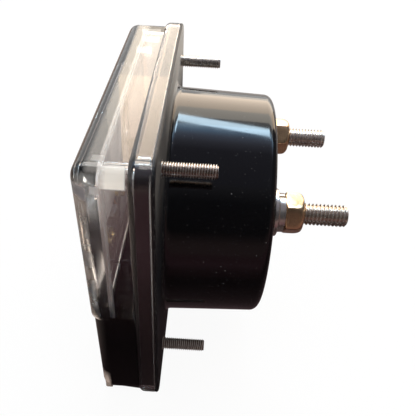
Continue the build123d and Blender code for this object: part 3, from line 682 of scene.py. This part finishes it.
# Spring washers: split rings that lean a little out of flat. The section is (radius, height) in millimetres.
SPRING_SECTION = (
    (2.12, 0.1), (2.22, 0.04), (3.5, 0.04), (3.6, 0.14), (3.6, 1.16), (3.5, 1.26), (2.22, 1.26), (2.12, 1.2),
)
SPRING_STEPS = 60
SPRING_GAP_RADIANS = 0.14
SPRING_LEAN = 0.12 * MM

spring_start, spring_end = low("terminal_spring_washers")[1], high("terminal_spring_washers")[1]
bm = bmesh.new()
for side in (-1, 1):
    rings = []
    for k in range(SPRING_STEPS + 1):
        turned = (2 * math.pi - SPRING_GAP_RADIANS) * k / SPRING_STEPS
        angle = math.pi / 2 + SPRING_GAP_RADIANS / 2 + turned
        lift = (k / SPRING_STEPS - 0.5) * SPRING_LEAN
        ring = []
        for r, height in SPRING_SECTION:
            y = min(max(spring_start + height * MM + lift, spring_start), spring_end)
            ring.append(on_circle(bm, side * TERMINAL_X, TERMINAL_Z, r * MM, angle, y))
        rings.append(ring)
    rings_to_faces(bm, rings)
mesh = finish_mesh(bm, "spring_rings")
add_piece("spring_rings", mesh, mats["washer_metal"], "case", ["terminal_spring_washers"])

# Flat washers with a rolled edge.
WASHER_BORE, WASHER_ROUND = 2.06 * MM, 0.25 * MM
ROUND_STEPS = 4

washer_start, washer_end = low("terminal_washers")[1], high("terminal_washers")[1]
washer_profile = [(WASHER_BORE, washer_start)]
for first, centre in ((-math.pi / 2, washer_start + WASHER_ROUND), (0.0, washer_end - WASHER_ROUND)):
    for k in range(ROUND_STEPS + 1):
        a = first + math.pi / 2 * k / ROUND_STEPS
        r = WASHER_RADIUS - WASHER_ROUND + WASHER_ROUND * math.cos(a)
        washer_profile.append((r, centre + WASHER_ROUND * math.sin(a)))
washer_profile.append((WASHER_BORE, washer_end))
bm = bmesh.new()
for side in (-1, 1):
    lathe(bm, side * TERMINAL_X, TERMINAL_Z, washer_profile)
mesh = finish_mesh(bm, "flat_washers")
add_piece("flat_washers", mesh, mats["washer_metal"], "case", ["terminal_washers"])

# Dial print: arc, ticks and plain numbers, a hair in front of the plate.
PIVOT_Z = -11.0 * MM
PRINT_Y = low("dial_plate")[1] - 0.02 * MM
FIRST_DEGREES, SWEEP_DEGREES = -45, 90
ARC_INNER, ARC_OUTER = 26.0 * MM, 26.35 * MM
DIVISIONS = 50
# Every so many divisions: a tick's length and width.
TICKS = ((10, 3.6 * MM, 0.42 * MM), (5, 2.6 * MM, 0.3 * MM), (1, 1.7 * MM, 0.16 * MM))
NUMBER_COUNT, NUMBER_STEP = 6, 10
NUMBER_SIZE, NUMBER_RADIUS = 3.4 * MM, 23.2 * MM


def polar(radius, degrees):
    angle = math.radians(degrees)
    return Vector((radius * math.sin(angle), 0, PIVOT_Z + radius * math.cos(angle)))


def flat_piece(bm, points):
    bm.faces.new([bm.verts.new((p.x, PRINT_Y, p.z)) for p in points])


bm = bmesh.new()
for k in range(SWEEP_DEGREES):
    a, b = FIRST_DEGREES + k, FIRST_DEGREES + k + 1
    flat_piece(bm, [polar(ARC_INNER, a), polar(ARC_OUTER, a), polar(ARC_OUTER, b), polar(ARC_INNER, b)])
for k in range(DIVISIONS + 1):
    degrees = FIRST_DEGREES + SWEEP_DEGREES * k / DIVISIONS
    reach, width = next((length, width) for every, length, width in TICKS if k % every == 0)
    foot, top = polar(ARC_OUTER, degrees), polar(ARC_OUTER + reach, degrees)
    along = (top - foot).normalized()
    across = Vector((along.z, 0, -along.x)) * width / 2
    flat_piece(bm, [foot - across, foot + across, top + across, top - across])
bmesh.ops.recalc_face_normals(bm, faces=bm.faces)
mesh = bpy.data.meshes.new("dial_scale")
bm.to_mesh(mesh)
bm.free()
add_piece("dial_scale", mesh, mats["dial_ink"], "case")

for k in range(NUMBER_COUNT):
    curve = bpy.data.curves.new("number", "FONT")
    curve.body = str(k * NUMBER_STEP)
    curve.size = NUMBER_SIZE
    curve.align_x = "CENTER"
    curve.align_y = "CENTER"
    text = bpy.data.objects.new("number", curve)
    bpy.context.scene.collection.objects.link(text)
    bpy.context.view_layer.update()
    mesh = bpy.data.meshes.new_from_object(text.evaluated_get(bpy.context.evaluated_depsgraph_get()))
    bpy.data.objects.remove(text)
    degrees = FIRST_DEGREES + SWEEP_DEGREES * k / (NUMBER_COUNT - 1)
    place = polar(NUMBER_RADIUS, degrees)
    upright = Matrix.Translation((place.x, PRINT_Y, place.z)) @ Matrix.Rotation(math.radians(90), 4, "X")
    mesh.transform(upright @ Matrix.Rotation(math.radians(-degrees), 4, "Z"))
    mesh.name = "dial_number_%d" % k
    add_piece("dial_number_%d" % k, mesh, mats["dial_ink"], "case")

# Lamps: a window with its panes and bars, and a strip of sky above it

LAMP_REACH = 0.8


def direction(azimuth, elevation):
    # Azimuth from -X towards +Y, in degrees.
    a, e = math.radians(azimuth), math.radians(elevation)
    return Vector((-math.cos(a) * math.cos(e), math.sin(a) * math.cos(e), math.sin(e)))


def soft_light(name, centre, along, up, width, height, radiance, colour):
    lamp = bpy.data.lights.new(name, "AREA")
    lamp.shape = "RECTANGLE"
    lamp.size = width
    lamp.size_y = height
    lamp.energy = math.pi * radiance * width * height
    lamp.color = colour
    obj = bpy.data.objects.new(name, lamp)
    bpy.context.scene.collection.objects.link(obj)
    x_axis = Vector(along).normalized()
    z_axis = x_axis.cross(Vector(up)).normalized()
    if z_axis.dot(Vector(centre)) < 0:
        z_axis = -z_axis
    y_axis = z_axis.cross(x_axis)
    basis = Matrix((x_axis, y_axis, z_axis)).transposed().to_4x4()
    obj.matrix_world = Matrix.Translation(centre) @ basis
    obj.visible_camera = False


def window_pane(name, azimuths, elevations, radiance, colour, spot):
    # A pane of window light in an upright plane, given by the angles that it spans as seen from a spot.
    y_low, y_high = (LAMP_REACH * math.tan(math.radians(angle)) for angle in azimuths)
    z_low, z_high = (LAMP_REACH * math.tan(math.radians(angle)) for angle in elevations)
    middle = Vector((-LAMP_REACH, (y_low + y_high) / 2, (z_low + z_high) / 2))
    soft_light(name, spot + middle, (0, 1, 0), (0, 0, 1), y_high - y_low, z_high - z_low, radiance, colour)


# Spots on the object, in metres, from which the panes span their angles.
BARREL_SPOT = Vector((0, 0.005, 0.01))
BLOCK_SPOT = Vector((0.01, -0.008, 0.027))
BAR_TINT, BAR_RADIANCE = (1.0, 0.95, 0.85), 1.8
# Name, azimuths, elevations, radiance, colour and spot.
WINDOW_PANES = (
    ("window_right", (-4, 48), (12.5, 41), 3.6, (1.0, 0.78, 0.57), BARREL_SPOT),
    ("window_left", (-10.8, -3.1), (23, 41), 2.5, (1.0, 0.77, 0.53), BLOCK_SPOT),
    ("window_left_low", (-10.8, -3.1), (12, 23), 1.5, (1.0, 0.79, 0.56), BLOCK_SPOT),
    ("window_left_edge", (-12.6, -10.8), (12, 41), 0.8, (1.0, 0.88, 0.74), BLOCK_SPOT),
    ("window_upper", (-12, 48), (41, 55), 2.3, (1.0, 0.9, 0.75), BARREL_SPOT),
    ("window_lower", (0.5, 48), (7, 12.5), 1.6, (1.0, 0.86, 0.68), BARREL_SPOT),
    ("window_bar_0", (-7.85, -5.55), (18.4, 19.0), BAR_RADIANCE, BAR_TINT, Vector((-0.024, -0.0065, 0.027))),
    ("window_bar_1", (-7.9, -5.7), (19.2, 19.8), BAR_RADIANCE, BAR_TINT, Vector((-0.019, -0.0065, 0.027))),
    ("window_bar_2", (-8.6, -6.6), (20.15, 20.85), BAR_RADIANCE, BAR_TINT, Vector((-0.0135, -0.007, 0.027))),
)
STRIP_ENDS = ((-17.3, 46.6), (47.5, 66.3))
STRIP_SPOT = Vector((0.0065, 0.01, 0.0225))
STRIP_WIDTH, STRIP_RADIANCE, STRIP_BLUE = 0.095, 14.5, (0.62, 0.84, 1.0)

for pane in WINDOW_PANES:
    window_pane(*pane)
strip_a, strip_b = (direction(*end) for end in STRIP_ENDS)
strip_mid, strip_along = (strip_a + strip_b) / 2, strip_b - strip_a
soft_light(
    "window_strip", STRIP_SPOT + strip_mid * LAMP_REACH, strip_along, strip_mid.cross(strip_along),
    strip_along.length * LAMP_REACH, STRIP_WIDTH, STRIP_RADIANCE, STRIP_BLUE
)

# World: an even light on things, and plain white where it is seen.
AMBIENT_COLOUR, AMBIENT_STRENGTH = (1.0, 0.98, 0.96, 1), 0.78

world = bpy.data.worlds.new("world")
bpy.context.scene.world = world
world.use_nodes = True
tree = world.node_tree
tree.nodes.clear()
out = tree.nodes.new("ShaderNodeOutputWorld")
ambient = tree.nodes.new("ShaderNodeBackground")
ambient.inputs[0].default_value = AMBIENT_COLOUR
ambient.inputs[1].default_value = AMBIENT_STRENGTH
white = tree.nodes.new("ShaderNodeBackground")
white.inputs[0].default_value = (1, 1, 1, 1)
white.inputs[1].default_value = 1.0
mix_shaders(tree, seen_ray(tree), ambient, white, out)

# Floor: pale, and white where it is seen but for the object's soft shadow.
FLOOR_HALF = 3.0
FLOOR_GAP, CARD_GAP = 0.1 * MM, 0.05 * MM
FLOOR_WHITE_SHARE = 0.94
FLOOR_TONES = ((0.86, 0.86, 0.86), (0.9, 0.9, 0.9))
FLOOR_SCALE = 30.0
FLOOR_ROUGHNESS = 0.9


def square_mesh(name, w, h):
    mesh = bpy.data.meshes.new(name)
    mesh.from_pydata([(-w, -h, 0), (w, -h, 0), (w, h, 0), (-w, h, 0)], [], [(0, 1, 2, 3)])
    return mesh


mesh = square_mesh("floor", FLOOR_HALF, FLOOR_HALF)
floor = bpy.data.objects.new("floor", mesh)
bpy.context.scene.collection.objects.link(floor)
floor.location = (0, 0, cad_box[0][2] - FLOOR_GAP)
mat, tree, shader, coord, out = new_material("floor_white")
tree.links.new(ramp(tree, noise(tree, coord, FLOOR_SCALE), *FLOOR_TONES), shader.inputs["Base Color"])
shader.inputs["Roughness"].default_value = FLOOR_ROUGHNESS
glow = tree.nodes.new("ShaderNodeEmission")
mix_shaders(tree, product(tree, seen_ray(tree), FLOOR_WHITE_SHARE), shader, glow, out)
mesh.materials.append(mat)

# Cards: the dark room as black plastic, glass and metal show it. Nothing else sees them.
CARD_STRENGTH = 6.0


def emission_card(name, centre, width, height, facing, colours, axis, front=None):
    # Its tone changes along one world axis, and if front is given, along Y as well.
    mesh = square_mesh(name, width / 2, height / 2)
    obj = bpy.data.objects.new(name, mesh)
    bpy.context.scene.collection.objects.link(obj)
    obj.location = centre
    obj.rotation_mode = "QUATERNION"
    obj.rotation_quaternion = Vector(facing).to_track_quat("Z", "Y")
    mat = bpy.data.materials.new(name)
    mat.use_nodes = True
    tree = mat.node_tree
    tree.nodes.clear()
    out = tree.nodes.new("ShaderNodeOutputMaterial")
    glow = tree.nodes.new("ShaderNodeEmission")
    geometry = tree.nodes.new("ShaderNodeNewGeometry")
    place = place_of(tree, geometry.outputs["Position"])
    tone = tree.nodes.new("ShaderNodeValToRGB")
    first, last = colours[0][0], colours[-1][0]
    elements = tone.color_ramp.elements
    while len(elements) < len(colours):
        elements.new(0.5)
    for element, (position, colour) in zip(elements, colours):
        element.position = (position - first) / (last - first)
        element.color = tuple(c / CARD_STRENGTH for c in colour) + (1,)
    tree.links.new(spread(tree, place["XYZ".index(axis)], 0.0, 1.0, first, last), tone.inputs[0])
    shade = tone.outputs[0]
    if front:
        front_start, front_end, front_colour = front
        share = spread(tree, place[1], 1.0, 0.0, front_end, front_start)
        shade = mix_colour(tree, share, shade, tuple(c / CARD_STRENGTH for c in front_colour))
    tree.links.new(shade, glow.inputs[0])
    glow.inputs[1].default_value = CARD_STRENGTH
    tree.links.new(glow.outputs[0], out.inputs[0])
    mesh.materials.append(mat)
    obj.visible_camera = False
    obj.visible_diffuse = False
    obj.visible_shadow = False


# Tones of each card along its axis, as (position in metres, colour).
TABLE_TONES = [
    (-0.9, (0.6, 0.55, 0.5)), (-0.2, (0.6, 0.55, 0.52)), (-0.07, (0.24, 0.19, 0.19)),
    (0.0, (0.1, 0.065, 0.07)), (0.044, (0.03, 0.018, 0.019)), (0.06, (0.08, 0.042, 0.046)),
    (0.077, (0.2, 0.1, 0.12)), (0.1, (0.17, 0.08, 0.095)), (0.14, (0.2, 0.13, 0.13)), (0.6, (0.15, 0.1, 0.1)),
]
# Towards the front the table turns to this tone, from the first place along Y to the second.
TABLE_FRONT = (-0.016, -0.06, (0.5, 0.4, 0.35))
NEAR_TONES = [
    (-0.05, (0.15, 0.1, 0.1)), (0.08, (0.04, 0.035, 0.04)), (0.5, (0.05, 0.05, 0.06)),
    (0.75, (0.13, 0.13, 0.15)), (1.05, (0.2, 0.2, 0.24)),
]
TOP_TONES = [
    (-0.42, (3.0, 4.3, 5.6)), (-0.3, (1.2, 1.9, 2.8)), (-0.2, (0.8, 0.95, 1.3)),
    (-0.08, (0.45, 0.47, 0.6)), (0.05, (0.22, 0.22, 0.28)), (0.8, (0.15, 0.15, 0.19)),
]
BACK_TONES = [(-0.05, (0.2, 0.11, 0.08)), (0.1, (0.1, 0.09, 0.1)), (0.9, (0.12, 0.13, 0.16))]
CEILING_TONES = [(-0.555, (6.0, 5.8, 5.4)), (-0.2, (6.0, 5.9, 5.7)), (-0.005, (5.0, 5.0, 5.0))]
# Name, centre, width, height, facing, tones, the axis that they follow, and a front, in metres.
CARDS = (
    ("table_card", (0, 0, cad_box[0][2] - CARD_GAP), 3.0, 3.0, (0, 0, 1), TABLE_TONES, "X", TABLE_FRONT),
    ("near_card", (0.7, 0, 0.5), 3.0, 1.1, (-1, 0, 0), NEAR_TONES, "Z"),
    ("top_card", (1.08, 0, 0.9), 3.0, 3.0, (0, 0, -1), TOP_TONES, "X"),
    ("back_card", (0, 0.9, 0.45), 3.0, 1.0, (0, -1, 0), BACK_TONES, "Z"),
    ("ceiling_card", (-0.28, -0.3, 0.85), 0.55, 0.42, (0, 0, -1), CEILING_TONES, "X"),
)

for card in CARDS:
    emission_card(*card)

# Camera, fitted to the photo's edges. Lengths in the picture are in pixels of the photo, angles in radians.
PHOTO_WIDTH = 416
FOCAL_PIXELS = 496.868
SHIFT_PIXELS = (9.92, 28.93)
SENSOR_WIDTH = 36.0
CAMERA_PLACE = (0.087303, 0.006429, 0.064955)
YAW, PITCH, ROLL = -0.003, 0.713, 0.058
CLIP_START, CLIP_END = 0.005, 20.0

scene = bpy.context.scene
camera_data = bpy.data.cameras.new("camera")
camera = bpy.data.objects.new("camera", camera_data)
scene.collection.objects.link(camera)
scene.camera = camera
forward = Vector((-math.cos(PITCH) * math.cos(YAW), math.cos(PITCH) * math.sin(YAW), -math.sin(PITCH)))
right = forward.cross(Vector((0, 0, 1))).normalized()
upward = right.cross(forward)
right_rolled = right * math.cos(ROLL) + upward * math.sin(ROLL)
up_rolled = upward * math.cos(ROLL) - right * math.sin(ROLL)
basis = Matrix((right_rolled, up_rolled, -forward)).transposed().to_4x4()
camera.matrix_world = Matrix.Translation(CAMERA_PLACE) @ basis
camera_data.sensor_width = SENSOR_WIDTH
camera_data.lens = FOCAL_PIXELS / PHOTO_WIDTH * SENSOR_WIDTH
camera_data.shift_x = SHIFT_PIXELS[0] / PHOTO_WIDTH
camera_data.shift_y = SHIFT_PIXELS[1] / PHOTO_WIDTH
camera_data.clip_start = CLIP_START
camera_data.clip_end = CLIP_END
scene.view_settings.view_transform = "Standard"
